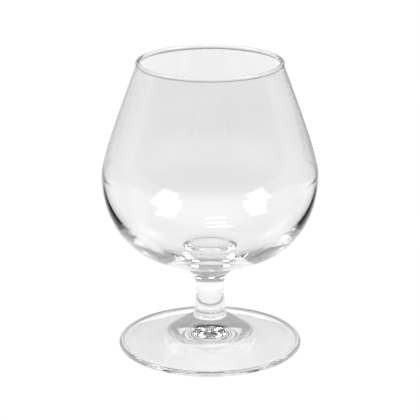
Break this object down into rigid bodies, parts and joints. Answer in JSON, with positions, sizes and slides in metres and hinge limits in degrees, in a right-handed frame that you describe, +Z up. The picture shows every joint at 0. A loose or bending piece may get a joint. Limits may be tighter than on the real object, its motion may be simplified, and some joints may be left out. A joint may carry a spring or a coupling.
{
  "type": "brandy glass",
  "caption": "Clear short-stemmed brandy glass: a round bowl that narrows to a beaded rim, a waisted stem with a collar, and a flared round foot.",
  "frame": {"origin": "centre of the circle that the foot stands on", "axes": "+Z up along the axis of the glass, from the foot to the rim; the glass is round, so +X and +Y are any two directions across it"},
  "size_m": [0.0824, 0.0824, 0.1129],
  "materials": {
    "clear_glass": "fire-polished, clear"
  },
  "bodies": {
    "root": {"bowl": "clear_glass", "stem": "clear_glass", "foot": "clear_glass"}
  },
  "joints": []
}
